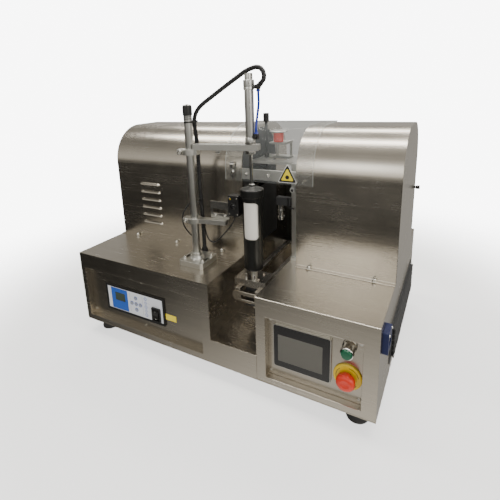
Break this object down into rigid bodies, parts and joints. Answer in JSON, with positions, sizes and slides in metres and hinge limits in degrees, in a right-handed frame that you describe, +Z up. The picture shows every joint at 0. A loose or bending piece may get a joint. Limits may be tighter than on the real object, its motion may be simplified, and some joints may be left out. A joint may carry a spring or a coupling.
{
  "type": "tube sealing machine",
  "caption": "Benchtop ultrasonic sealing machine for plastic tubes: steel housings and hoods, sliding tube holder, clamp column, guard and front controls.",
  "frame": {"origin": "on the surface the feet stand on, under the middle of the overall box", "axes": "+X to the right seen from the front, +Y from the front face to the back, +Z up"},
  "size_m": [0.874, 0.657, 0.7666],
  "materials": {
    "brushed_steel": "brushed stainless sheet",
    "bright_steel": "bright machined steel",
    "alloy": "plain machined aluminium",
    "black_plastic": "black moulded plastic",
    "black_gloss": "black glossy front",
    "rubber": "black rubber",
    "white_plastic": "white plastic",
    "keypad": "white printed membrane",
    "clear_guard": "clear polycarbonate sheet",
    "yellow_plastic": "yellow plastic",
    "red_plastic": "red plastic",
    "green_plastic": "dark green plastic",
    "blue_plastic": "blue plastic",
    "hose_black": "black spiral wrapped hose",
    "black_metal": "black powder coat",
    "grey_metal": "grey painted metal"
  },
  "bodies": {
    "machine": {"base_pan": "brushed_steel", "feet": "rubber", "left_housing": "brushed_steel", "right_housing": "brushed_steel", "left_front_panel": "brushed_steel", "right_front_panel": "brushed_steel", "rear_cover": "brushed_steel", "left_hood": "brushed_steel", "right_hood": "brushed_steel", "guard": "clear_guard", "screws": "bright_steel", "generator_bezel": "black_plastic", "generator_keypad": "keypad", "rocker_frame": "black_plastic", "touch_panel": "black_gloss", "start_button_barrel": "bright_steel", "estop_base": "yellow_plastic", "side_vents": "black_metal", "mains_inlet": "blue_plastic", "air_inlet": "alloy", "column_base": "alloy", "column": "alloy", "hose_gland": "black_plastic", "guide_rails": "bright_steel", "rail_supports": "brushed_steel", "carriage_cylinder": "alloy", "frame_posts": "alloy", "front_bridge": "alloy", "stack_bed": "brushed_steel", "jaw_cylinders": "alloy", "limit_switch": "black_plastic", "generator_unit": "grey_metal", "controller_box": "grey_metal", "hood_knob": "black_plastic", "hose_bundle": "hose_black", "blue_air_hose": "blue_plastic", "sensor_cable": "hose_black"},
    "rocker": {"power_rocker": "black_plastic"},
    "start_cap": {"start_button_cap": "green_plastic"},
    "estop_stem": {"estop_plunger": "black_plastic"},
    "estop_mushroom": {"estop_head": "red_plastic"},
    "upper_clamp": {"upper_arm": "bright_steel", "ram_cylinder": "alloy", "ram_elbow": "black_plastic"},
    "ram": {"ram_rod": "bright_steel", "pusher_collar": "black_plastic"},
    "sensor_clamp": {"sensor_arm": "bright_steel", "sensor_bracket": "bright_steel", "mark_sensor": "black_plastic"},
    "carriage": {"carriage_plate": "brushed_steel", "spindle_motor": "black_metal", "slide_rod": "bright_steel"},
    "holder": {"holder_spindle": "alloy", "holder_cup": "black_plastic", "holder_liner": "white_plastic"},
    "horn_unit": {"transducer_stack": "alloy", "horn": "alloy"},
    "anvil_unit": {"anvil": "bright_steel"},
    "trimmer": {"trim_blade": "bright_steel"},
    "stop_knob": {"adjusting_knob": "black_plastic"}
  },
  "joints": [
    {"name": "carriage_slide", "type": "slide", "parent": "machine", "child": "carriage", "axis": [0, 1, 0], "range_m": [0, 0.174]},
    {"name": "holder_spin", "type": "hinge", "parent": "carriage", "child": "holder", "pos_m": [0.089, -0.1875, 0.27], "axis": [0, 0, 1], "continuous": true},
    {"name": "horn_slide", "type": "slide", "parent": "machine", "child": "horn_unit", "axis": [1, 0, 0], "range_m": [0, 0.0255]},
    {"name": "anvil_slide", "type": "slide", "parent": "machine", "child": "anvil_unit", "axis": [-1, 0, 0], "range_m": [0, 0.0255]},
    {"name": "trim_slide", "type": "slide", "parent": "anvil_unit", "child": "trimmer", "axis": [-1, 0, 0], "range_m": [0, 0.03]},
    {"name": "upper_clamp_slide", "type": "slide", "parent": "machine", "child": "upper_clamp", "axis": [0, 0, 1], "range_m": [0, 0.03], "deforming": ["hose_bundle", "blue_air_hose"]},
    {"name": "ram_slide", "type": "slide", "parent": "upper_clamp", "child": "ram", "axis": [0, 0, 1], "range_m": [0, 0.05]},
    {"name": "sensor_clamp_slide", "type": "slide", "parent": "machine", "child": "sensor_clamp", "axis": [0, 0, 1], "range_m": [-0.03, 0.03], "deforming": ["sensor_cable"]},
    {"name": "rocker_tilt", "type": "hinge", "parent": "machine", "child": "rocker", "pos_m": [-0.163, -0.2915, 0.1165], "axis": [1, 0, 0], "range_deg": [-9, 9]},
    {"name": "start_press", "type": "slide", "parent": "machine", "child": "start_cap", "axis": [0, 1, 0], "range_m": [0, 0.004], "stiffness_N_per_m": 500},
    {"name": "estop_press", "type": "slide", "parent": "machine", "child": "estop_stem", "axis": [0, 1, 0], "range_m": [0, 0.006]},
    {"name": "estop_twist", "type": "hinge", "parent": "estop_stem", "child": "estop_mushroom", "pos_m": [0.36, -0.3135, 0.117], "axis": [0, 1, 0], "range_deg": [0, 40]},
    {"name": "stop_knob_turn", "type": "hinge", "parent": "machine", "child": "stop_knob", "pos_m": [0.05, -0.0135, 0.63], "axis": [0, 0, 1], "continuous": true}
  ],
  "couplings": [
    {"joint": "anvil_slide", "follows": "horn_slide", "ratio": 1}
  ]
}
